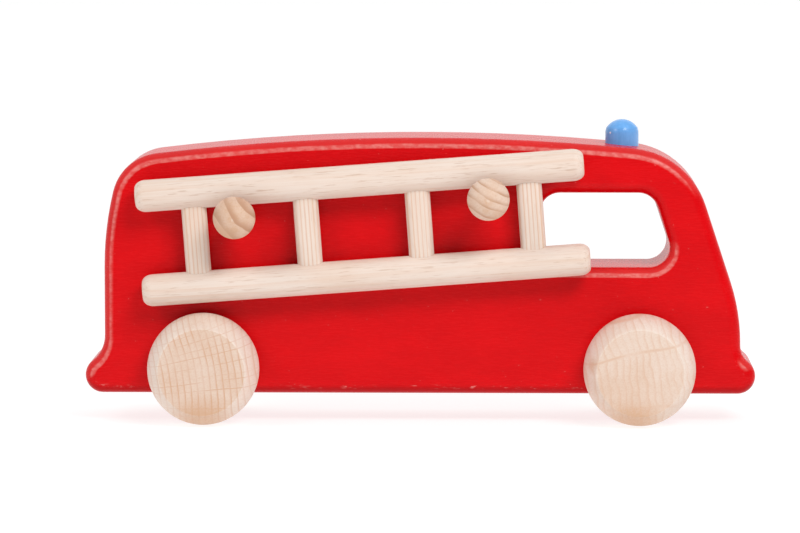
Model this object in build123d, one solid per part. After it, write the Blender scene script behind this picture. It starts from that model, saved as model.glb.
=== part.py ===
from build123d import *
import os
from math import atan2, cos, degrees, pi, radians, sin, sqrt, tan

# Wooden toy fire engine: a profile-cut slab on four turned wheels, with a ladder that hangs on
# two ball-headed pegs. X runs forward, Z up from the floor, and the ladder is on the -Y face.
# All sizes are in millimetres.

# Wheels and axles
wheel_diameter = 40.0
wheel_thickness = 18.0
wheel_face_diameter = 31.2  # the flat in the middle of the outer face
wheel_shoulder = 12.5       # depth from that flat to the full diameter
wheel_crease_round = 1.2
wheel_back_round = 4.5
wheel_gap = 1.0             # wheel to slab
axle_diameter = 6.0
axle_rise = 9.7             # axle line above the underside of the slab
axle_in_wheel = 12.0        # depth of the blind bore in each wheel
front_overhang = 41.7       # axle line back from the front nose
rear_overhang = 43.0        # axle line ahead of the rear nose

# Slab
body_length = 240.4         # nose to nose
body_height = 91.9          # underside to the crown of the roof
body_thickness = 40.0
edge_round = 4.0            # round-over on both faces
nose_radius = 6.4
front_nose_reach = 5.4      # the nose stands this far ahead of the front wall
rear_nose_reach = 7.0       # the nose stands this far behind the rear wall
front_flare = 7.7           # hollow radius above each nose
rear_flare = 11.7
front_wall_upright = 0.5    # straight length between the hollow and the bend of the front wall
front_wall_bend = 70.5
windscreen_rake = 18.3      # degrees from upright
brow_radius = 30.0          # corner between the windscreen and the roof
roof_radius = 780.0
tail_radius = 18.2          # corner between the roof and the tail
tail_bend = 116.0
tail_upright = 24.5         # straight length between the hollow and the bend of the tail

# Cab window, cut right through
window_length = 44.7        # at mid-height, from the upright edge to the raked one
window_height = 26.6
window_corner = 7.2
window_under_roof = 19.7    # crown of the roof down to the top of the window
pillar_width = 17.4         # between the window and the windscreen, measured level

# Beacon
beacon_diameter = 12.0
beacon_height = 9.1         # top of the dome above the roof
beacon_dome = 3.8
beacon_shoulder_round = 2.0
beacon_depth = 10.0         # depth of its blind hole in the roof
beacon_setback = 47.7       # behind the front nose

# Ladder
rail_diameter = 11.4
rail_length = 160.0
rail_pitch = 33.8           # between the two rail axes
rail_end_round = 2.2
rung_width = 9.0            # rungs are flat slats with full round edges
rung_thickness = 5.6
rung_count = 4
rung_pitch = 39.85
rung_lead = 0.3             # the rungs stand this far ahead of centre on the rails
rung_socket = 5.0           # depth of each rung in its rail
ladder_tilt = 4.25          # degrees, front end up
ladder_wheel_gap = 3.7      # lower rail above the rear wheel
ladder_body_gap = 0.3       # rails to the face of the slab
ladder_rest_gap = 0.3       # upper rail to the pegs it hangs on
ladder_setback = 0.45       # the ladder hangs this far behind centre on its pegs

# Pegs and balls
peg_diameter = 6.0
peg_in_body = 16.0
peg_in_ball = 8.0
peg_exposed = 12.5          # from the slab to the back of the ball
peg_inside_rung = 14.8      # each peg lies this far inside the end rung's even place
front_peg_setback = 18.4    # behind the upright edge of the window
ball_diameter = 15.0

# Fits, all radial
axle_clearance = 0.10       # axle turning in the slab
glue_line = 0.05            # dowels and rungs glued into their holes

# Places worked out from the sizes
half_body = body_thickness / 2
nose_x = body_length / 2
axle_z = wheel_diameter / 2
underside_z = axle_z - axle_rise
crown_z = underside_z + body_height
axle_places = {"front": nose_x - front_overhang, "rear": rear_overhang - nose_x}
wheel_inner_y = half_body + wheel_gap
ball_y = half_body + peg_exposed + ball_diameter / 2
ladder_y = half_body + ladder_body_gap + rail_diameter / 2
rake = radians(windscreen_rake)
tilt = radians(ladder_tilt)

# The origin lies under the middle of the whole toy, so the slab stands a little to +Y of it
reach_left = wheel_inner_y + wheel_thickness
reach_right = max(reach_left, ball_y + ball_diameter / 2, ladder_y + rail_diameter / 2)
slab_y = (reach_right - reach_left) / 2


def polar(centre, radius, angle):
    return centre[0] + radius * cos(angle), centre[1] + radius * sin(angle)


def heading(start, end):
    return atan2(end[1] - start[1], end[0] - start[0])


def arc(centre, radius, start, end):
    return CenterArc(centre, radius, degrees(start), degrees(end - start))


def hollow_centre(nose, wall_x, flare, side):
    # the hollow touches the nose circle and the upright wall
    x = wall_x + side * flare
    return x, nose[1] + sqrt((nose_radius + flare) ** 2 - (x - nose[0]) ** 2)


def brow_centre(roof, screen):
    # a corner circle that touches the roof arc from inside and the windscreen, which passes
    # through the point screen
    nx, nz = cos(rake), sin(rake)
    inset = (screen[0] - roof[0]) * nx + (screen[1] - roof[1]) * nz - brow_radius
    reach = sqrt((roof_radius - brow_radius) ** 2 - inset ** 2)
    return roof[0] + inset * nx - reach * nz, roof[1] + inset * nz + reach * nx


def tail_centre(tail, roof):
    # a corner circle that touches the tail arc and the roof arc from inside
    to_tail = tail_bend - tail_radius
    to_roof = roof_radius - tail_radius
    span = sqrt((roof[0] - tail[0]) ** 2 + (roof[1] - tail[1]) ** 2)
    along = (to_tail ** 2 - to_roof ** 2 + span ** 2) / (2 * span)
    across = sqrt(to_tail ** 2 - along ** 2)
    foot = polar(tail, along, heading(tail, roof))
    return polar(foot, across, heading(tail, roof) - pi / 2)


def front_end():
    # centres of the nose, of the hollow above it and of the front wall's bend, and the foot of
    # the windscreen
    wall_x = nose_x - front_nose_reach
    nose = nose_x - nose_radius, underside_z + nose_radius
    hollow = hollow_centre(nose, wall_x, front_flare, 1)
    bend = wall_x - front_wall_bend, hollow[1] + front_wall_upright
    return nose, hollow, bend, polar(bend, front_wall_bend, rake)


def body_face():
    front_x = nose_x - front_nose_reach
    rear_x = rear_nose_reach - nose_x
    front_nose, front_hollow, bend, foot = front_end()
    rear_nose = nose_radius - nose_x, underside_z + nose_radius
    rear_hollow = hollow_centre(rear_nose, rear_x, rear_flare, -1)
    roof = 0, crown_z - roof_radius
    tail = rear_x + tail_bend, rear_hollow[1] + tail_upright
    brow = brow_centre(roof, foot)
    corner = tail_centre(tail, roof)
    edges = [
        Line((rear_nose[0], underside_z), (front_nose[0], underside_z)),
        arc(front_nose, nose_radius, -pi / 2, heading(front_nose, front_hollow)),
        arc(front_hollow, front_flare, heading(front_hollow, front_nose), -pi),
        Line((front_x, front_hollow[1]), (front_x, bend[1])),
        arc(bend, front_wall_bend, 0, rake),
        Line(foot, polar(brow, brow_radius, rake)),
        arc(brow, brow_radius, rake, heading(roof, brow)),
        arc(roof, roof_radius, heading(roof, brow), heading(roof, corner)),
        arc(corner, tail_radius, heading(roof, corner), heading(tail, corner)),
        arc(tail, tail_bend, heading(tail, corner), pi),
        Line((rear_x, tail[1]), (rear_x, rear_hollow[1])),
        arc(rear_hollow, rear_flare, 0, heading(rear_hollow, rear_nose)),
        arc(rear_nose, nose_radius, heading(rear_nose, rear_hollow), 3 * pi / 2),
    ]
    return make_face(Plane.XZ * Curve(edges))


def window_places():
    # the middle of the window's raked edge, and the x of its upright edge
    middle_z = crown_z - window_under_roof - window_height / 2
    foot = front_end()[3]
    front_x = foot[0] - (middle_z - foot[1]) * tan(rake) - pillar_width
    return front_x, middle_z, front_x - window_length


def window_face():
    front_x, middle_z, rear_x = window_places()
    half = window_height / 2
    lean = half * tan(rake)
    corners = [
        (rear_x, middle_z - half),
        (front_x + lean, middle_z - half),
        (front_x - lean, middle_z + half),
        (rear_x, middle_z + half),
    ]
    return make_face(Plane.XZ * FilletPolyline(*corners, radius=window_corner, close=True))


def roof_z(x):
    return crown_z - roof_radius + sqrt(roof_radius ** 2 - x ** 2)


def dowel(diameter, start, end):
    # a plain round rod between two points
    start, end = Vector(start), Vector(end)
    return Solid.make_cylinder(diameter / 2, (end - start).length, Plane(start, z_dir=end - start))


def ladder_plane():
    # local X along the rails towards the front, local Y from the lower rail to the upper one
    middle_x = front_peg_x() - (peg_reach() + ladder_setback) * cos(tilt) + peg_drop() * sin(tilt)
    lower_edge = (rail_diameter + rail_pitch) / 2 / cos(tilt)
    climb = (middle_x - axle_places["rear"]) * tan(tilt)
    middle_z = wheel_diameter + ladder_wheel_gap + lower_edge + climb
    return Plane((middle_x, -ladder_y, middle_z), x_dir=(cos(tilt), 0, sin(tilt)), z_dir=(0, -1, 0))


def front_peg_x():
    return window_places()[2] - front_peg_setback


def rung_places():
    return [rung_lead + rung_pitch * (i - (rung_count - 1) / 2) for i in range(rung_count)]


def peg_reach():
    # from the middle of the ladder to a peg, along the rails
    return rung_pitch * (rung_count - 1) / 2 - peg_inside_rung


def peg_drop():
    # from the middle of the ladder up to the pegs, across the rails
    return (rail_pitch - rail_diameter - peg_diameter) / 2 - ladder_rest_gap


def peg_places():
    # the x and z of each peg
    plane = ladder_plane()
    front = plane.from_local_coords((ladder_setback + peg_reach(), peg_drop(), 0))
    rear = plane.from_local_coords((ladder_setback - peg_reach(), peg_drop(), 0))
    return {"front": (front.X, front.Z), "rear": (rear.X, rear.Z)}


def make_body():
    slab = extrude(body_face(), half_body, both=True)
    slab -= extrude(window_face(), half_body, both=True)
    slab = fillet(slab.faces().filter_by(Axis.Y).edges(), edge_round)
    for x in axle_places.values():
        bore = axle_diameter + 2 * axle_clearance
        slab -= dowel(bore, (x, -body_thickness, axle_z), (x, body_thickness, axle_z))
    for x, z in peg_places().values():
        hole = peg_diameter + 2 * glue_line
        slab -= dowel(hole, (x, peg_in_body - half_body, z), (x, -body_thickness, z))
    seat = roof_z(beacon_x()) - beacon_depth
    hole = beacon_diameter + 2 * glue_line
    slab -= dowel(hole, (beacon_x(), 0, seat), (beacon_x(), 0, seat + 2 * beacon_depth))
    return slab


def beacon_x():
    return nose_x - beacon_setback


def make_beacon():
    # a dowel whose top is turned to a low dome with a soft shoulder
    radius = beacon_diameter / 2
    seat = roof_z(beacon_x()) - beacon_depth
    length = beacon_depth + beacon_height
    dome = (radius ** 2 + beacon_dome ** 2) / (2 * beacon_dome)
    shoulder = length - beacon_dome
    profile = [
        Line((0, length), (0, 0)),
        Line((0, 0), (radius, 0)),
        Line((radius, 0), (radius, shoulder)),
        arc((0, length - dome), dome, atan2(dome - beacon_dome, radius), pi / 2),
    ]
    turned = revolve(make_face(Plane.XZ * Curve(profile)), Axis.Z)
    turned = fillet(turned.edges().filter_by_position(Axis.Z, shoulder, shoulder), beacon_shoulder_round)
    return Pos(beacon_x(), 0, seat) * turned


def make_axle(x):
    end = wheel_inner_y + axle_in_wheel
    return dowel(axle_diameter, (x, -end, axle_z), (x, end, axle_z))


def make_wheel(x, side):
    # turned about local Z, with the flat face up, then laid over to face side (+1 or -1) along Y
    radius = wheel_diameter / 2
    face = wheel_face_diameter / 2
    drop = radius - face
    bulge = (drop ** 2 + wheel_shoulder ** 2) / (2 * drop)
    wall_top = wheel_thickness - wheel_shoulder
    profile = [
        Line((0, wheel_thickness), (0, 0)),
        Line((0, 0), (radius - wheel_back_round, 0)),
        arc((radius - wheel_back_round, wheel_back_round), wheel_back_round, -pi / 2, 0),
        Line((radius, wheel_back_round), (radius, wall_top)),
        arc((radius - bulge, wall_top), bulge, 0, atan2(wheel_shoulder, bulge - drop)),
        Line((face, wheel_thickness), (0, wheel_thickness)),
    ]
    wheel = revolve(make_face(Plane.XZ * Curve(profile)), Axis.Z)
    crease = wheel.faces().sort_by(Axis.Z)[-1].edges()
    wheel = fillet(crease, wheel_crease_round)
    wheel -= dowel(axle_diameter + 2 * glue_line, (0, 0, -1), (0, 0, axle_in_wheel))
    return Pos(x, side * wheel_inner_y, axle_z) * Rot(-side * 90, 0, 0) * wheel


def make_peg(x, z):
    end = half_body + peg_exposed + peg_in_ball
    return dowel(peg_diameter, (x, peg_in_body - half_body, z), (x, -end, z))


def make_ball(x, z):
    back = half_body + peg_exposed
    ball = Pos(x, -ball_y, z) * Sphere(ball_diameter / 2)
    hole = peg_diameter + 2 * glue_line
    return ball - dowel(hole, (x, -half_body, z), (x, -back - peg_in_ball, z))


def slat(u, low, high, clearance=0):
    # a rung's section, run across the rails at the place u
    section = SlotOverall(rung_width + 2 * clearance, rung_thickness + 2 * clearance)
    return Pos(u, (low + high) / 2, 0) * extrude(Plane.XZ * section, (high - low) / 2, both=True)


def make_rail(side):
    # side is +1 for the upper rail and -1 for the lower one; its sockets face the other rail
    axis = side * rail_pitch / 2
    half = rail_length / 2
    rail = dowel(rail_diameter, (-half, axis, 0), (half, axis, 0))
    rail = fillet(rail.faces().filter_by(Axis.X).edges(), rail_end_round)
    floor = axis - side * (rail_diameter / 2 - rung_socket)
    for u in rung_places():
        rail -= slat(u, min(floor, 0), max(floor, 0), glue_line)
    return ladder_plane() * rail


def make_rung(u):
    end = (rail_pitch - rail_diameter) / 2 + rung_socket
    return ladder_plane() * slat(u, -end, end)


def all_parts():
    parts = {"body": make_body(), "beacon": make_beacon()}
    for name, x in axle_places.items():
        parts[f"{name}_axle"] = make_axle(x)
        parts[f"{name}_left_wheel"] = make_wheel(x, 1)
        parts[f"{name}_right_wheel"] = make_wheel(x, -1)
    for name, place in peg_places().items():
        parts[f"{name}_peg"] = make_peg(*place)
        parts[f"{name}_peg_ball"] = make_ball(*place)
    parts["ladder_upper_rail"] = make_rail(1)
    parts["ladder_lower_rail"] = make_rail(-1)
    for number, u in enumerate(rung_places(), 1):
        parts[f"ladder_rung_{number}"] = make_rung(u)
    return parts


os.makedirs("parts", exist_ok=True)
for node, shape in all_parts().items():
    export_step(Pos(0, slab_y, 0) * shape, f"parts/{node}.step")
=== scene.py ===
import math

import bpy
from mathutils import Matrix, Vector


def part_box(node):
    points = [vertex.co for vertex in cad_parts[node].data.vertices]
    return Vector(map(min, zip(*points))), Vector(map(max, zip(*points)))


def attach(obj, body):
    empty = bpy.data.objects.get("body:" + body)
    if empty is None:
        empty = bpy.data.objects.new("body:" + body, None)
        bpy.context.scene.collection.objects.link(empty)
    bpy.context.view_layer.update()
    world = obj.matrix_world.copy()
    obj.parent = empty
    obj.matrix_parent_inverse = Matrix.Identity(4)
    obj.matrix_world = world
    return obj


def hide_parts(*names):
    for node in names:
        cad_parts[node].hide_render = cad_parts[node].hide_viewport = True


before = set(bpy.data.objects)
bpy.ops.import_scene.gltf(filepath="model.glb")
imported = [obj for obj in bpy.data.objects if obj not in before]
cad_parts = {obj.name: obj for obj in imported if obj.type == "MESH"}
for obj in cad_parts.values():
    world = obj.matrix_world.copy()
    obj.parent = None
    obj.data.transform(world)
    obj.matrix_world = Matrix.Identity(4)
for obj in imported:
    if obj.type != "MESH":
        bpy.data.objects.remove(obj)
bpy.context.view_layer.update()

# wooden toy fire engine: a red stained slab on turned beech wheels, a ladder on two ball pegs
# and a blue beacon. X runs forward, Z up, the ladder hangs on the -Y face. Metres throughout

mm = 0.001
print("frame loaded,", len(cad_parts), "nodes")


# shader helpers

def newMaterial(name, **settings):
    material = bpy.data.materials.new(name)
    material.use_nodes = True
    nodes = material.node_tree.nodes
    nodes.clear()
    output = nodes.new("ShaderNodeOutputMaterial")
    shader = nodes.new("ShaderNodeBsdfPrincipled")
    material.node_tree.links.new(shader.outputs["BSDF"], output.inputs["Surface"])
    for socket, value in settings.items():
        shader.inputs[socket.replace("_", " ")].default_value = value
    return material, shader


def feed(material, socket, value):
    # another node's output is linked, a plain number or colour is typed in
    if isinstance(value, bpy.types.NodeSocket):
        material.node_tree.links.new(value, socket)
    else:
        socket.default_value = value


def calc(material, operation, *values):
    node = material.node_tree.nodes.new("ShaderNodeMath")
    node.operation = operation
    for socket, value in zip(node.inputs, values):
        feed(material, socket, value)
    return node.outputs[0]


def times(material, vector, factors):
    node = material.node_tree.nodes.new("ShaderNodeVectorMath")
    node.operation = "MULTIPLY"
    feed(material, node.inputs[0], vector)
    node.inputs[1].default_value = factors
    return node.outputs[0]


def noise(material, vector, lumps=(1, 1, 1), detail=2.0, rough=0.5):
    # lumps are how many of them there are to the metre each way
    node = material.node_tree.nodes.new("ShaderNodeTexNoise")
    feed(material, node.inputs["Vector"], times(material, vector, lumps))
    node.inputs["Scale"].default_value = 1.0
    node.inputs["Detail"].default_value = detail
    node.inputs["Roughness"].default_value = rough
    return node.outputs[0]


def ease(material, value, low, high, first=0.0, last=1.0):
    node = material.node_tree.nodes.new("ShaderNodeMapRange")
    node.interpolation_type = "SMOOTHSTEP"
    feed(material, node.inputs["Value"], value)
    node.inputs["From Min"].default_value = low
    node.inputs["From Max"].default_value = high
    node.inputs["To Min"].default_value = first
    node.inputs["To Max"].default_value = last
    return node.outputs[0]


def between(material, value, start, full, fall, end):
    # rises from start to full, and dies away from fall to end
    rise = ease(material, value, start, full)
    return calc(material, "MULTIPLY", rise, ease(material, value, end, fall))


def blend(material, amount, first, second):
    node = material.node_tree.nodes.new("ShaderNodeMix")
    node.data_type = "RGBA"
    feed(material, node.inputs[0], amount)
    feed(material, node.inputs[6], first)
    feed(material, node.inputs[7], second)
    return node.outputs[2]


def bump(material, shader, height, strength, depth):
    node = material.node_tree.nodes.new("ShaderNodeBump")
    node.inputs["Strength"].default_value = strength
    node.inputs["Distance"].default_value = depth
    feed(material, node.inputs["Height"], height)
    material.node_tree.links.new(node.outputs[0], shader.inputs["Normal"])


def place(material, centre=(0, 0, 0), turn=(0, 0, 0)):
    # object coordinates seen from a centre, with local Z laid along the turn
    coords = material.node_tree.nodes.new("ShaderNodeTexCoord")
    mapping = material.node_tree.nodes.new("ShaderNodeMapping")
    mapping.vector_type = "TEXTURE"
    mapping.inputs["Location"].default_value = centre
    mapping.inputs["Rotation"].default_value = turn
    material.node_tree.links.new(coords.outputs["Object"], mapping.inputs["Vector"])
    return mapping.outputs[0]


def split(material, vector):
    node = material.node_tree.nodes.new("ShaderNodeSeparateXYZ")
    feed(material, node.inputs[0], vector)
    return node.outputs[0], node.outputs[1], node.outputs[2]


def facing(material):
    # which way the surface looks in object space: forward, across and up
    coords = material.node_tree.nodes.new("ShaderNodeTexCoord")
    return split(material, coords.outputs["Normal"])


def distanceFrom(material, spot):
    node = material.node_tree.nodes.new("ShaderNodeVectorMath")
    node.operation = "DISTANCE"
    feed(material, node.inputs[0], place(material))
    node.inputs[1].default_value = spot
    return node.outputs["Value"]


def unevenRoughness(material, pattern, look):
    # the pattern swings the roughness evenly about its middle value
    spread = look["roughSpread"]
    return calc(material, "MULTIPLY_ADD", pattern, spread, look["roughness"] - spread / 2)


# finishes

redStain = {
    "bright": (0.735, 0.0018, 0.0048, 1),
    "deep": (0.64, 0.0011, 0.0038, 1),
    # pale colour of the real scuffs and specks, and of the painted highlight on the upper edges
    "wearAndHighlight": (0.86, 0.36, 0.32, 1),
    "shadeRed": (0.42, 0.0008, 0.003, 1),      # painted shade on the lower edges that face down
    "toneRange": (0.40, 0.95),   # from deep to bright, by the streaks and clouds together
    "streakShare": 0.35,
    "cloudShare": 0.95,
    "roughness": 0.27,
    "roughSpread": 0.12,
    "wornRougher": 0.3,
    "specular": 0.12,
    # lumps to the metre forward, across and up
    "streaks": (300, 1500, 2100),
    "clouds": (30, 60, 75),
    "mottle": (420, 700, 700),
    "scuffs": (330, 1200, 1200),
    "scuffPatches": (35, 60, 60),
    "specks": (800, 800, 900),
    "waves": (120, 260, 260),
    # where each band starts, is full, falls off and ends, by how squarely the surface faces sideways
    # the first two bands hold the painted highlight, the last one the real scuffs
    "highlightBand": (0.80, 0.92, 0.993, 0.9995),
    "broadHighlightBand": (0.25, 0.6, 0.95, 1.0),
    "scuffedBand": (0.80, 0.93, 0.97, 0.999),
    "backward": -0.38,           # the painted highlight lies on the edges that face up, and a little more on those facing back
    "litFacing": (0.03, 0.20),
    "innerHighlight": 0.58,                # how strong the painted highlight is just inside the round-over
    "outerHighlight": 0.07,             # and how strong the fainter painted highlight is on the rest of it
    "mottleRange": (0.35, 0.70, 0.4, 1.0),
    "scuffRange": (0.57, 0.68),
    "patchRange": (0.44, 0.60),
    "speckRange": (0.745, 0.79),
    "scuffStrength": 0.6,
    "speckStrength": 0.35,
    "scuffHeights": (18 * mm, 12 * mm),      # the scuffs thin out between these
    # where the painted shade on the lower edges lies, by height and by how far the surface faces down
    "shadeHeights": (21.6 * mm, 18 * mm),
    "shadeFacing": (-0.12, -0.6),
    "shadeStrength": 0.7,
    "smooth": (0.2, 0.8),        # the sawn edges are smoother than the faces
    "grainFacing": (0.3, 0.9),
    "grainHeight": 0.14,
    "bumpStrength": 0.2,
    "bumpDepth": 0.1 * mm,
}


def stainedRed():
    look = redStain
    material, shader = newMaterial("red stain", Specular_IOR_Level=look["specular"])
    where = place(material)
    height = split(material, where)[2]
    streaks = noise(material, where, look["streaks"])
    clouds = noise(material, where, look["clouds"], 4, 0.65)
    tone = calc(material, "MULTIPLY", clouds, look["cloudShare"])
    tone = calc(material, "MULTIPLY_ADD", streaks, look["streakShare"], tone)
    colour = blend(material, ease(material, tone, *look["toneRange"]), look["deep"], look["bright"])

    # a mottled painted highlight band just inside the round-over, and a fainter one over the rest of it,
    # on the edges that face up and back where the lamps light them
    forward, across, up = facing(material)
    across = calc(material, "ABSOLUTE", across)
    litFacing = calc(material, "MULTIPLY_ADD", forward, look["backward"], up)
    litFacing = ease(material, litFacing, *look["litFacing"])
    inner = calc(material, "MULTIPLY", between(material, across, *look["highlightBand"]), litFacing)
    mottle = ease(material, noise(material, where, look["mottle"], 3, 0.6), *look["mottleRange"])
    inner = calc(material, "MULTIPLY", inner, calc(material, "MULTIPLY", mottle, look["innerHighlight"]))
    outer = calc(material, "MULTIPLY", between(material, across, *look["broadHighlightBand"]),
                 calc(material, "MULTIPLY", litFacing, look["outerHighlight"]))

    # pale scuffs on the round-over, most of them low down, and a few specks all over
    low = ease(material, height, *look["scuffHeights"], 0.1, 1.0)
    scuffs = ease(material, noise(material, where, look["scuffs"], 4, 0.7), *look["scuffRange"])
    patches = ease(material, noise(material, where, look["scuffPatches"]), *look["patchRange"])
    scuffs = calc(material, "MULTIPLY", scuffs, calc(material, "MULTIPLY", patches, low))
    scuffs = calc(material, "MULTIPLY", scuffs, between(material, across, *look["scuffedBand"]))
    specks = ease(material, noise(material, where, look["specks"]), *look["speckRange"])
    wear = calc(material, "MAXIMUM", calc(material, "MULTIPLY", scuffs, look["scuffStrength"]),
                calc(material, "MULTIPLY", specks, look["speckStrength"]))
    # the real scuffs and specks, and the painted highlight, all take the pale colour
    wearAndHighlight = calc(material, "MAXIMUM", wear, calc(material, "MAXIMUM", inner, outer))
    # painted shade darkens the lower edges that face down, where less light falls
    downward = ease(material, up, *look["shadeFacing"], 0.0, look["shadeStrength"])
    underShade = calc(material, "MULTIPLY", downward, ease(material, height, *look["shadeHeights"]))
    colour = blend(material, underShade, colour, look["shadeRed"])
    colour = blend(material, wearAndHighlight, colour, look["wearAndHighlight"])
    feed(material, shader.inputs["Base Color"], colour)

    rough = unevenRoughness(material, streaks, look)
    rough = calc(material, "MULTIPLY_ADD", wear, look["wornRougher"], rough)
    feed(material, shader.inputs["Roughness"], rough)
    waves = noise(material, where, look["waves"])
    waves = calc(material, "MULTIPLY", waves, ease(material, across, *look["smooth"], 0.3, 1.0))
    grain = ease(material, across, *look["grainFacing"], 0.0, look["grainHeight"])
    relief = calc(material, "MULTIPLY_ADD", streaks, grain, waves)
    bump(material, shader, relief, look["bumpStrength"], look["bumpDepth"])
    return material


beech = {
    "pale": (0.84, 0.715, 0.63, 1),
    "tan": (0.68, 0.43, 0.285, 1),
    "dark": (0.52, 0.30, 0.19, 1),
    "line": (0.70, 0.42, 0.26, 1),
    "roughness": 0.55,
    "roughSpread": 0.2,
    "specular": 0.35,
    "fibre": (0, 0, 0),       # turns local Z along the fibres
    "ringGap": 3 * mm,
    "rings": 0.5,             # how strongly the growth rings show
    "sharp": 3.0,             # how thin the dark line of each ring is
    "rays": 0.0,              # thin lines that cross the rings on end grain
    "rayCount": 30,           # rays to the radian
    "endTone": 0.0,           # how much darker the wood is where it is cut across the fibres
    "rimFade": 0.0,           # how much the rings and rays fade on the round-over of an end
    "flecks": 0.4,            # short dark dashes along the grain
    "wobble": 1.0,            # how unevenly the rings run
    "mottle": 0.25,
    "tone": 0.0,              # shifts the whole piece towards tan
    "patchesAndShade": [],             # place, radius and strength of each tan patch, and of the painted shade along the bottom of a wheel
    "season": (0.2, 0.92, 0.95, 1.0),      # each ring darkens slowly and ends sharply
    "drift": 3 * mm,          # how far the rings wander
    "uneven": 1.1,            # in rings
    "faintRange": (0.30, 0.62, 0.35, 1.0),
    "fleckRange": (0.58, 0.70),
    "tintRange": (0.35, 0.75),
    "hairTint": 0.2,
    "endFacing": (0.95, 0.995),
    "rimFacing": (0.80, 0.97),
    "rayStretch": 60.0,
    "raySway": 0.25,
    "rayFade": (0.30, 0.55),
    "rayWidth": 0.07,         # of the gap to the next ray
    # lumps to the metre across the fibres, twice, and along them
    "driftLumps": (45, 45, 10),
    "unevenLumps": (140, 140, 12),
    "faintLumps": (90, 90, 12),
    "fleckLumps": (2300, 2300, 130),
    "hairLumps": (1700, 1700, 30),
    "mottleLumps": (70, 70, 25),
    "bumpStrength": 0.25,
    "bumpDepth": 0.1 * mm,
}


def radialDistance(material, x, y):
    squares = calc(material, "MULTIPLY_ADD", x, x, calc(material, "MULTIPLY", y, y))
    return calc(material, "SQRT", squares)


def rayLines(material, x, y, look):
    # thin lines that run out from the pith, one to each slice of bearing, fading along their length
    reach = radialDistance(material, x, y)
    slices = calc(material, "MULTIPLY", calc(material, "ARCTAN2", y, x), look["rayCount"])
    drift = material.node_tree.nodes.new("ShaderNodeCombineXYZ")
    feed(material, drift.inputs[0], calc(material, "MULTIPLY", reach, look["rayStretch"]))
    feed(material, drift.inputs[1], slices)
    drift = drift.outputs[0]
    sway = noise(material, drift, detail=1, rough=0.4)
    slices = calc(material, "MULTIPLY_ADD", sway, look["raySway"], slices)
    chance = material.node_tree.nodes.new("ShaderNodeTexWhiteNoise")
    chance.noise_dimensions = "1D"
    feed(material, chance.inputs["W"], calc(material, "FLOOR", slices))
    luck = chance.outputs["Value"]
    middle = calc(material, "MULTIPLY_ADD", luck, 0.5, 0.25)
    away = calc(material, "SUBTRACT", calc(material, "FRACT", slices), middle)
    away = calc(material, "ABSOLUTE", away)
    fade = ease(material, noise(material, drift, (1.2, 3.1, 1), 1), *look["rayFade"])
    strength = calc(material, "MULTIPLY", fade, ease(material, luck, 0.0, 1.0, 0.35, 1.0))
    return calc(material, "MULTIPLY", ease(material, away, look["rayWidth"], 0.0), strength)


def beechWood(name, pith, **changes):
    # beech cut from a log: growth rings round the pith, rays out from it, fibres along local Z
    look = {**beech, **changes}
    material, shader = newMaterial(name, Specular_IOR_Level=look["specular"])
    where = place(material, pith, look["fibre"])
    x, y = split(material, where)[:2]
    drift = noise(material, where, look["driftLumps"])
    reach = radialDistance(material, x, y)
    reach = calc(material, "MULTIPLY_ADD", drift, look["drift"] * look["wobble"], reach)
    uneven = noise(material, where, look["unevenLumps"], 1)
    years = calc(material, "DIVIDE", reach, look["ringGap"])
    years = calc(material, "MULTIPLY_ADD", uneven, look["uneven"] * look["wobble"], years)
    late = between(material, calc(material, "FRACT", years), *look["season"])
    faint = ease(material, noise(material, where, look["faintLumps"]), *look["faintRange"])
    late = calc(material, "MULTIPLY", calc(material, "POWER", late, look["sharp"]), faint)
    late = calc(material, "MULTIPLY", late, look["rings"])
    if look["rays"]:
        rays = rayLines(material, x, y, look)
        late = calc(material, "MAXIMUM", late, calc(material, "MULTIPLY", rays, look["rays"]))

    dashes = noise(material, where, look["fleckLumps"], 2, 0.55)
    dashes = calc(material, "MULTIPLY", ease(material, dashes, *look["fleckRange"]), look["flecks"])
    hair = noise(material, where, look["hairLumps"], 2, 0.6)
    mottle = noise(material, where, look["mottleLumps"], 3, 0.55)
    hairTint = ease(material, hair, *look["tintRange"])
    soft = calc(material, "MULTIPLY_ADD", hairTint, look["hairTint"], look["tone"])
    clouds = ease(material, mottle, *look["tintRange"])
    soft = calc(material, "MULTIPLY_ADD", clouds, look["mottle"], soft)
    if look["endTone"]:
        across = calc(material, "ABSOLUTE", facing(material)[1])
        ends = ease(material, across, *look["endFacing"])
        soft = calc(material, "MULTIPLY_ADD", ends, look["endTone"], soft)
        rim = ease(material, across, *look["rimFacing"], 1 - look["rimFade"], 1.0)
        late = calc(material, "MULTIPLY", late, rim)
    # tan patches, and painted shade where a patch sits at the bottom of a wheel
    for spot, radius, strength in look["patchesAndShade"]:
        ragged = calc(material, "MULTIPLY_ADD", mottle, 0.8 * radius, distanceFrom(material, spot))
        patch = ease(material, ragged, 1.6 * radius, 0.8 * radius, 0.0, strength)
        soft = calc(material, "ADD", soft, patch)
    colour = blend(material, soft, look["pale"], look["tan"])
    colour = blend(material, late, colour, look["line"])
    colour = blend(material, dashes, colour, look["dark"])
    feed(material, shader.inputs["Base Color"], colour)
    feed(material, shader.inputs["Roughness"], unevenRoughness(material, hair, look))
    height = calc(material, "SUBTRACT", calc(material, "MULTIPLY", hair, 0.6), dashes)
    bump(material, shader, height, look["bumpStrength"], look["bumpDepth"])
    return material


endGrain = (math.radians(90), 0, 0)      # fibres straight across the slab


def ownWood(name, grain, centre, hub, **changes):
    # one piece's wood: its pith is set out from the centre, its tan patches and painted shade from the
    # hub
    look = {**grain, **changes}
    pith = centre + Vector(look.pop("pith"))
    patchesAndShade = look.pop("patchesAndShade", [])
    look["patchesAndShade"] = [(hub + Vector(spot), radius, strength) for spot, radius, strength in patchesAndShade]
    return beechWood(name, pith, **look)


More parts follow.
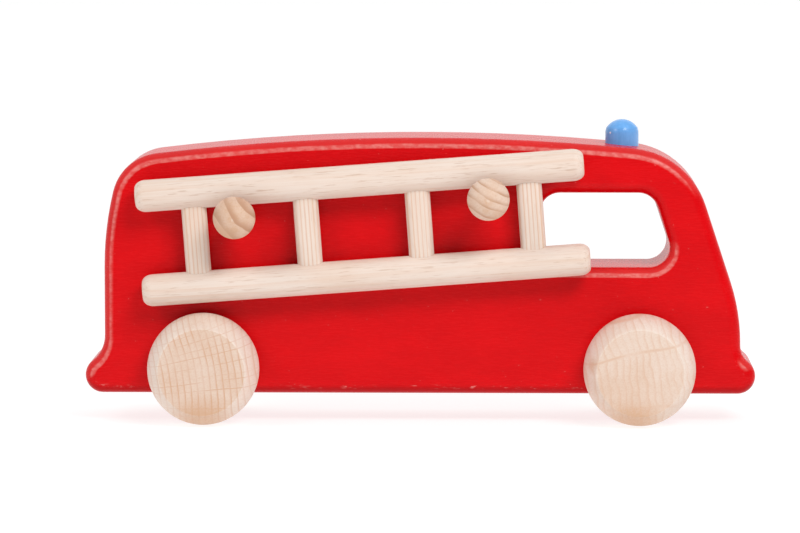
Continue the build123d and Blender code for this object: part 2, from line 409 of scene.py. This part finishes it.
bluePaint = {
    "bright": (0.17, 0.45, 0.90, 1),
    "deep": (0.125, 0.38, 0.80, 1),
    "bare": (0.82, 0.86, 0.90, 1),
    "toneRange": (0.40, 0.85),
    "streakShare": 0.45,
    "cloudShare": 0.75,
    "roughness": 0.19,
    "roughSpread": 0.2,
    "specular": 0.5,
    "streaks": (1100, 1100, 90),
    "clouds": (260, 260, 190),
    "chipTurn": -46,           # degrees from straight ahead of the ladder side
    "chipHeight": 4.4 * mm,    # above the roof
    "chipRadius": 0.32 * mm,
    "bumpStrength": 0.15,
    "bumpDepth": 0.08 * mm,
}


def paintedBlue(centre, radius, roof):
    look = bluePaint
    material, shader = newMaterial("blue paint", Specular_IOR_Level=look["specular"])
    where = place(material, centre)
    streaks = noise(material, where, look["streaks"])
    clouds = noise(material, where, look["clouds"], 3)
    tone = calc(material, "MULTIPLY", clouds, look["cloudShare"])
    tone = calc(material, "MULTIPLY_ADD", streaks, look["streakShare"], tone)
    colour = blend(material, ease(material, tone, *look["toneRange"]), look["deep"], look["bright"])
    turn = math.radians(look["chipTurn"])
    chip = centre + Vector((radius * math.sin(turn), -radius * math.cos(turn), 0))
    chip.z = roof + look["chipHeight"]
    size = look["chipRadius"]
    ragged = calc(material, "MULTIPLY_ADD", streaks, 0.3 * size, distanceFrom(material, chip))
    bare = ease(material, ragged, 1.5 * size, size)
    feed(material, shader.inputs["Base Color"], blend(material, bare, colour, look["bare"]))
    feed(material, shader.inputs["Roughness"], unevenRoughness(material, streaks, look))
    height = calc(material, "SUBTRACT", calc(material, "MULTIPLY", streaks, 0.5), bare)
    bump(material, shader, height, look["bumpStrength"], look["bumpDepth"])
    return material


def paint(piece, material):
    piece.data.materials.clear()
    piece.data.materials.append(material)


# modelling helpers

def middleOf(node):
    low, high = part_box(node)
    return (low + high) / 2


def sizeOf(node):
    low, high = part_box(node)
    return high - low


def only(piece):
    bpy.ops.object.select_all(action="DESELECT")
    piece.select_set(True)
    bpy.context.view_layer.objects.active = piece


def arcPoints(centre, radius, start, end, count):
    # points along an arc of a half outline, angles in degrees
    points = []
    for i in range(count + 1):
        angle = math.radians(start + (end - start) * i / count)
        points.append((centre[0] + radius * math.cos(angle), centre[1] + radius * math.sin(angle)))
    return points


def turnOnLathe(name, outline, steps):
    # one corner of a plane is drawn out along the half outline, then spun round Z
    bpy.ops.object.select_all(action="DESELECT")
    bpy.ops.mesh.primitive_plane_add(size=1 * mm)
    piece = bpy.context.active_object
    piece.name = name
    bpy.ops.object.mode_set(mode="EDIT")
    bpy.ops.mesh.select_mode(type="VERT")
    bpy.ops.mesh.select_all(action="SELECT")
    bpy.ops.mesh.merge(type="CENTER")
    bpy.ops.transform.translate(value=(outline[0][0], 0, outline[0][1]))
    for here, there in zip(outline, outline[1:]):
        step = (there[0] - here[0], 0, there[1] - here[1])
        bpy.ops.mesh.extrude_region_move(TRANSFORM_OT_translate={"value": step})
    bpy.ops.mesh.select_all(action="SELECT")
    bpy.ops.mesh.spin(steps=steps, angle=2 * math.pi, center=(0, 0, 0), axis=(0, 0, 1))
    bpy.ops.mesh.select_all(action="SELECT")
    bpy.ops.mesh.remove_doubles(threshold=0.001 * mm)
    bpy.ops.mesh.normals_make_consistent(inside=False)
    bpy.ops.object.mode_set(mode="OBJECT")
    return piece


def roundEdges(piece, wanted, offset, segments):
    # bevels the edges whose two ends pass the test
    only(piece)
    bpy.ops.object.mode_set(mode="EDIT")
    bpy.ops.mesh.select_mode(type="EDGE")
    bpy.ops.mesh.select_all(action="DESELECT")
    bpy.ops.object.mode_set(mode="OBJECT")
    corners = piece.data.vertices
    for edge in piece.data.edges:
        edge.select = wanted(*(corners[i].co for i in edge.vertices))
    bpy.ops.object.mode_set(mode="EDIT")
    bpy.ops.mesh.bevel(offset=offset, segments=segments, affect="EDGES")
    bpy.ops.object.mode_set(mode="OBJECT")


def copyPiece(piece, name):
    twin = bpy.data.objects.new(name, piece.data.copy())
    bpy.context.scene.collection.objects.link(twin)
    return twin


def settle(piece, centre, along, smooth=30):
    # lays local Z along a direction, moves the piece to its place and fixes both in the mesh
    only(piece)
    piece.rotation_euler = Vector(along).to_track_quat("Z", "Y").to_euler()
    piece.location = centre
    bpy.ops.object.transform_apply(location=True, rotation=True, scale=True)
    bpy.ops.object.shade_smooth_by_angle(angle=math.radians(smooth))


def hand(piece, body, slot, *nodes):
    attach(piece, body)
    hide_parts(*nodes)


# slab

slab = {"smoothAngle": 32}


def buildSlab():
    piece = copyPiece(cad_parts["body"], "slab")
    only(piece)
    bpy.ops.object.mode_set(mode="EDIT")
    bpy.ops.mesh.select_all(action="SELECT")
    bpy.ops.mesh.customdata_custom_splitnormals_clear()
    bpy.ops.mesh.remove_doubles(threshold=0.001 * mm)
    bpy.ops.object.mode_set(mode="OBJECT")
    bpy.ops.object.shade_smooth_by_angle(angle=math.radians(slab["smoothAngle"]))
    weigh = piece.modifiers.new("even normals", "WEIGHTED_NORMAL")
    weigh.keep_sharp = True
    bpy.ops.object.modifier_apply(modifier=weigh.name)
    paint(piece, stainedRed())
    hand(piece, "root", "red_slab", "body")
    print("slab done,", len(piece.data.polygons), "faces")


# wheels

wheel = {
    "faceDiameter": 31.2 * mm,     # flat in the middle of the outer face
    "shoulder": 12.5 * mm,         # depth from that flat to the widest place
    "creaseBevel": 0.4 * mm,
    "creaseSteps": 4,
    "backRound": 4.5 * mm,
    "backSteps": 8,
    "bulgeSteps": 16,
    "boreDiameter": 6.1 * mm,
    "boreDepth": 12 * mm,
    "steps": 144,
}

wheelWood = {
    "rear_right": {
        "pith": (-0.085, 0, -0.014), "line": (0.66, 0.37, 0.22, 1), "ringGap": 2.3 * mm,
        "rings": 0.85, "sharp": 6.0, "rays": 0.9, "rayCount": 29, "rimFade": 0.4,
        "flecks": 0.08, "wobble": 0.2, "mottle": 0.3, "endTone": 0.34,
        "patchesAndShade": [((0, -0.0435, 0.0150), 4.6 * mm, 0.45),
                   ((0.0015, -0.0435, -0.0150), 5.2 * mm, 0.35),
                   # painted shade along the bottom of the rim, where less light falls
                   ((0, -0.033, -0.0245), 15.0 * mm, 0.75)],
    },
    "front_right": {
        "pith": (-0.16, 0, -0.028), "ringGap": 2.5 * mm,
        "rings": 0.42, "sharp": 3.0, "rays": 0.6, "rayCount": 12,
        "flecks": 0.2, "wobble": 1.2, "mottle": 0.3, "endTone": 0.22,
        "patchesAndShade": [((-0.0195, -0.034, 0.003), 4.5 * mm, 0.6),
                   ((0.0008, -0.0435, -0.0015), 2.0 * mm, 0.45),
                   # painted shade along the bottom of the rim, where less light falls
                   ((-0.003, -0.033, -0.0245), 15.5 * mm, 0.8)],
    },
    "front_left": {
        "pith": (-0.11, 0, 0.03), "ringGap": 2.2 * mm,
        "rings": 0.6, "sharp": 5.0, "rays": 0.5,
        "flecks": 0.12, "wobble": 0.5, "endTone": 0.12,
    },
    "rear_left": {
        "pith": (0.10, 0, 0.05), "ringGap": 2.0 * mm,
        "rings": 0.5, "sharp": 5.0, "rays": 0.4,
        "flecks": 0.12, "wobble": 0.5, "endTone": 0.12,
    },
}


def turnWheel():
    look = wheel
    size = sizeOf("front_right_wheel")
    radius = size.z / 2
    thick = size.y
    face = look["faceDiameter"] / 2
    bore = look["boreDiameter"] / 2
    drop = radius - face
    bulge = (drop ** 2 + look["shoulder"] ** 2) / (2 * drop)      # radius of the domed rim
    slope = math.degrees(math.atan2(look["shoulder"], bulge - drop))
    back = look["backRound"]
    widest = thick - look["shoulder"]
    outline = [(0, look["boreDepth"]), (bore, look["boreDepth"]), (bore, 0)]
    outline += arcPoints((radius - back, back), back, -90, 0, look["backSteps"])
    outline += arcPoints((radius - bulge, widest), bulge, 0, slope, look["bulgeSteps"])
    outline += [(face / 2, thick), (0, thick)]
    piece = turnOnLathe("wheel", outline, look["steps"])

    def onCrease(*ends):
        return all(abs(co.z - thick) < 0.01 * mm and abs(co.xy.length - face) < 0.05 * mm for co in ends)

    roundEdges(piece, onCrease, look["creaseBevel"], look["creaseSteps"])
    return piece


def buildWheels():
    pattern = turnWheel()
    for corner, grain in wheelWood.items():
        node = corner + "_wheel"
        outward = -1 if corner.endswith("right") else 1
        low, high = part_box(node)
        middle = (low + high) / 2
        back = Vector((middle.x, high.y if outward < 0 else low.y, middle.z))
        piece = copyPiece(pattern, corner + "_turned_wheel")
        settle(piece, back, (0, outward, 0))
        hub = Vector((middle.x, 0, middle.z))
        paint(piece, ownWood(corner + " wheel beech", grain, middle, hub, fibre=endGrain))
        hand(piece, corner.split("_")[0] + "_wheelset", "natural_wood", node)
    bpy.data.objects.remove(pattern)
    print("wheels done")


# pegs, balls and axles

ball = {
    "holeDiameter": 6.1 * mm,
    "holeDepth": 8 * mm,
    "arcSteps": 40,
    "steps": 96,
    "smoothAngle": 40,
}

ballWood = {
    "rear": {
        "pith": (0.034, 0, 0.029), "line": (0.52, 0.28, 0.17, 1), "ringGap": 5.2 * mm,
        "rings": 0.95, "sharp": 1.6, "flecks": 0.2, "wobble": 0.5,
        "tone": 0.58, "mottle": 0.55, "endTone": 0.15,
        "patchesAndShade": [((0.0006, -0.0075, -0.0045), 2.0 * mm, 0.4),
                   ((0, -0.0075, -0.0002), 0.7 * mm, -0.5)],
    },
    "front": {
        "pith": (0.019, 0, 0.041), "line": (0.54, 0.30, 0.18, 1), "ringGap": 3.1 * mm,
        "rings": 0.95, "sharp": 3.0, "flecks": 0.2, "wobble": 0.6,
        "tone": 0.42, "mottle": 0.45, "endTone": 0.15,
        "patchesAndShade": [((-0.0008, -0.0075, -0.0045), 2.0 * mm, 0.35),
                   ((0, -0.0075, 0), 0.7 * mm, -0.35)],
    },
}

dowelWood = {
    "peg": {"pith": (0.02, 0, 0.01), "ringGap": 1.6 * mm},
    "axle": {"pith": (0.01, 0, 0.02), "ringGap": 1.6 * mm},
}


def turnBall():
    look = ball
    radius = sizeOf("front_peg_ball").z / 2
    hole = look["holeDiameter"] / 2
    floor = look["holeDepth"] - radius
    rim = math.degrees(math.asin(hole / radius))
    outline = [(0, floor), (hole, floor)]
    outline += arcPoints((0, 0), radius, rim - 90, 90, look["arcSteps"])
    outline[-1] = (0, radius)
    return turnOnLathe("ball", outline, look["steps"])


def buildPegs():
    pattern = turnBall()
    for end, grain in ballWood.items():
        node = end + "_peg_ball"
        low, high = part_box(node)
        middle = (low + high) / 2
        middle.y = low.y + (high.z - low.z) / 2      # the back of the ball is cut away by its hole
        piece = copyPiece(pattern, end + "_ball")
        settle(piece, middle, (0, -1, 0), ball["smoothAngle"])
        paint(piece, ownWood(end + " ball beech", grain, middle, middle, fibre=endGrain))
        hand(piece, "root", "natural_wood", node)
        for dowel, dowelGrain in dowelWood.items():
            node = f"{end}_{dowel}"
            centre = middleOf(node)
            wood = ownWood(f"{end} {dowel} beech", dowelGrain, centre, centre, fibre=endGrain)
            paint(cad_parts[node], wood)
    bpy.data.objects.remove(pattern)
    print("pegs, balls and axles done")


# ladder

ladder = {
    "railLength": 160 * mm,
    "railEndRound": (2.7 * mm, 3.8 * mm),      # across the rail, then along it
    "railEndSteps": 8,
    "rungWidth": 9 * mm,
    "rungEdge": 0.499,         # how much of the thickness each edge's bevel takes
    "rungEdgeSteps": 12,
    "socketFit": 0.05 * mm,
    "pithStep": 13 * mm,       # each rung lies this much farther from its pith than the one behind it
    "steps": 96,
    "smoothAngle": 30,
}

railWood = {
    "upper": {
        "pith": (0, 0.045, 0.03), "ringGap": 2.6 * mm, "rings": 0.3, "flecks": 0.5, "wobble": 0.6,
    },
    "lower": {
        "pith": (0, 0.03, -0.05), "ringGap": 2.9 * mm, "rings": 0.25, "flecks": 0.42, "wobble": 0.6,
    },
}

rungWood = {
    "pith": (0.05, 0.012, 0), "ringGap": 1.45 * mm, "rings": 0.8, "sharp": 3.5,
    "flecks": 0.25, "wobble": 0.2, "mottle": 0.2,
}


def ladderLean():
    # how far the rails rise towards the front
    run = middleOf("ladder_rung_4") - middleOf("ladder_rung_1")
    return math.atan2(run.z, run.x)


def turnRail():
    look = ladder
    radius = sizeOf("ladder_upper_rail").y / 2
    half = look["railLength"] / 2
    deep, long = look["railEndRound"]
    quarter = arcPoints((0, 0), 1, 0, 90, look["railEndSteps"])
    curve = [(radius - deep + deep * x, half - long + long * z) for x, z in quarter]
    outline = [(0, -half)] + [(x, -z) for x, z in reversed(curve)] + curve + [(0, half)]
    return turnOnLathe("rail", outline, look["steps"])


def shapeSlat(name, width, thick, length):
    # a flat strip with full round edges, standing along Z
    bpy.ops.object.select_all(action="DESELECT")
    bpy.ops.mesh.primitive_cube_add(size=1)
    piece = bpy.context.active_object
    piece.name = name
    bpy.ops.object.mode_set(mode="EDIT")
    bpy.ops.mesh.select_all(action="SELECT")
    bpy.ops.transform.resize(value=(width, thick, length))
    bpy.ops.object.mode_set(mode="OBJECT")

    def upright(foot, top):
        return abs(foot.z - top.z) > length / 2

    roundEdges(piece, upright, thick * ladder["rungEdge"], ladder["rungEdgeSteps"])
    return piece


def layOnLadder(piece, centre, turned):
    # local Z up the ladder for a rung, along it for a rail, local Y always across the slab
    only(piece)
    piece.rotation_euler = (0, turned - ladderLean(), 0)
    piece.location = centre
    bpy.ops.object.transform_apply(location=True, rotation=True, scale=True)


def cutSocket(rail, drill):
    only(rail)
    cut = rail.modifiers.new("socket", "BOOLEAN")
    cut.operation = "DIFFERENCE"
    cut.solver = "EXACT"
    cut.object = drill
    bpy.ops.object.modifier_apply(modifier=cut.name)


def finishOnLadder(piece, wood, node):
    only(piece)
    bpy.ops.object.shade_smooth_by_angle(angle=math.radians(ladder["smoothAngle"]))
    paint(piece, wood)
    hand(piece, "ladder", "natural_wood", node)


def buildLadder():
    look = ladder
    lean = ladderLean()
    along = math.radians(90)
    rungSize = sizeOf("ladder_rung_1")
    width = look["rungWidth"]
    thick = rungSize.y
    length = (rungSize.z - width * math.sin(lean)) / math.cos(lean)
    fit = 2 * look["socketFit"]
    pattern = turnRail()
    rails = {}
    for side in railWood:
        rails[side] = copyPiece(pattern, side + "_rail")
        layOnLadder(rails[side], middleOf(f"ladder_{side}_rail"), along)
    bpy.data.objects.remove(pattern)
    for number in range(1, 5):
        node = f"ladder_rung_{number}"
        centre = middleOf(node)
        drill = shapeSlat("drill", width + fit, thick + fit, length)
        layOnLadder(drill, centre, 0)
        for rail in rails.values():
            cutSocket(rail, drill)
        bpy.data.objects.remove(drill)
        rung = shapeSlat(f"rung_{number}", width, thick, length)
        layOnLadder(rung, centre, 0)
        logCentre = centre + Vector((look["pithStep"] * number, 0, 0))
        wood = ownWood(f"rung {number} beech", rungWood, logCentre, centre, fibre=(0, -lean, 0))
        finishOnLadder(rung, wood, node)
    for side, rail in rails.items():
        node = f"ladder_{side}_rail"
        centre = middleOf(node)
        wood = ownWood(side + " rail beech", railWood[side], centre, centre, fibre=(0, along - lean, 0))
        finishOnLadder(rail, wood, node)
    print("ladder done")


# beacon

beacon = {
    "dome": 3.8 * mm,
    "standing": 9.1 * mm,          # top of the dome above the roof
    "domeSteps": 14,
    "shoulderBevel": 1.1 * mm,
    "shoulderSteps": 8,
    "footBevel": 0.4 * mm,
    "steps": 96,
    "smoothAngle": 35,
}


def buildBeacon():
    look = beacon
    low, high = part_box("beacon")
    radius = (high.x - low.x) / 2
    length = high.z - low.z
    foot = look["footBevel"]
    dome = (radius ** 2 + look["dome"] ** 2) / (2 * look["dome"])      # radius of its curve
    edge = math.degrees(math.asin((dome - look["dome"]) / dome))
    shoulder = length - look["dome"]
    outline = [(0, 0), (radius - foot, 0), (radius, foot)]
    outline += arcPoints((0, length - dome), dome, edge, 90, look["domeSteps"])
    outline[-1] = (0, length)
    piece = turnOnLathe("beacon_dowel", outline, look["steps"])

    def onShoulder(*ends):
        return all(abs(co.z - shoulder) < 0.02 * mm for co in ends)

    roundEdges(piece, onShoulder, look["shoulderBevel"], look["shoulderSteps"])
    centre = middleOf("beacon")
    settle(piece, (centre.x, centre.y, low.z), (0, 0, 1), look["smoothAngle"])
    paint(piece, paintedBlue(centre, radius, high.z - look["standing"]))
    hand(piece, "root", "blue_beacon", "beacon")
    print("beacon done")


buildSlab()
buildWheels()
buildPegs()
buildLadder()
buildBeacon()

# floor, lights and camera

studio = {
    "floorSize": 60.0,
    "floorColour": (0.30, 0.30, 0.30, 1),
    "floorRoughness": 0.8,
    "floorSpecular": 0.1,
    "floorGlow": 0.79,
    "frontGlow": 0.42,           # the floor dims in front of the object
    "dimming": (-0.27, -0.80),   # from here to here
    "lampAim": (0, 0, 0.05),
    "sky": {"front": 0.12, "above": 0.6, "behind": 1.03, "spread": 0.8},
    "key": {"place": (0.446, -0.772, 0.803), "size": (0.56, 0.40), "power": 7.6},
    "side": {"place": (-0.724, -0.608, 0.739), "size": (0.36, 0.48), "power": 2.8},
}


def layFloor():
    bpy.ops.object.select_all(action="DESELECT")
    bpy.ops.mesh.primitive_plane_add(size=studio["floorSize"])
    floor = bpy.context.active_object
    floor.name = "floor"
    material, shader = newMaterial("studio floor", Base_Color=studio["floorColour"],
                                   Roughness=studio["floorRoughness"],
                                   Specular_IOR_Level=studio["floorSpecular"],
                                   Emission_Color=(1, 1, 1, 1))
    depth = split(material, place(material))[1]
    near, far = studio["dimming"]
    glow = ease(material, depth, far, near, studio["frontGlow"], studio["floorGlow"])
    feed(material, shader.inputs["Emission Strength"], glow)
    paint(floor, material)


def hangLight(name):
    look = studio[name]
    light = bpy.data.lights.new(name, "AREA")
    light.shape = "RECTANGLE"
    light.size, light.size_y = look["size"]
    light.energy = look["power"]
    lamp = bpy.data.objects.new(name, light)
    bpy.context.scene.collection.objects.link(lamp)
    lamp.visible_camera = False
    lamp.location = look["place"]
    aim = Vector(studio["lampAim"]) - lamp.location
    lamp.rotation_euler = aim.to_track_quat("-Z", "Y").to_euler()


def lightSky():
    # a bright studio sweep behind the object, a dim room in front of it
    sky = studio["sky"]
    world = bpy.data.worlds.new("studio")
    bpy.context.scene.world = world
    world.use_nodes = True
    coords = world.node_tree.nodes.new("ShaderNodeTexCoord")
    depth = split(world, coords.outputs["Generated"])[1]
    sweep = ease(world, depth, 0.0, sky["spread"], sky["above"], sky["behind"])
    dim = ease(world, depth, -sky["spread"], 0.0, sky["front"] / sky["above"], 1.0)
    background = world.node_tree.nodes["Background"]
    feed(world, background.inputs["Strength"], calc(world, "MULTIPLY", sweep, dim))
    background.inputs["Color"].default_value = (1, 1, 1, 1)


viewpoint = {
    "place": (0.02872, -1.612, 0.20443),
    "down": 5.303,       # degrees below level
    "turn": 1.284,       # degrees to the left of straight ahead
    "lens": 201.9,
    "sensor": 36.0,
    "clip": 100.0,       # metres, past the far edge of the floor
}


def setCamera():
    camera = bpy.data.objects.new("camera", bpy.data.cameras.new("camera"))
    bpy.context.scene.collection.objects.link(camera)
    camera.location = viewpoint["place"]
    camera.rotation_euler = (math.radians(90 - viewpoint["down"]), 0, math.radians(viewpoint["turn"]))
    camera.data.lens = viewpoint["lens"]
    camera.data.sensor_width = viewpoint["sensor"]
    camera.data.clip_end = viewpoint["clip"]
    bpy.context.scene.camera = camera


layFloor()
hangLight("key")
hangLight("side")
lightSky()
setCamera()
bpy.context.scene.view_settings.view_transform = "Standard"
print("studio done")
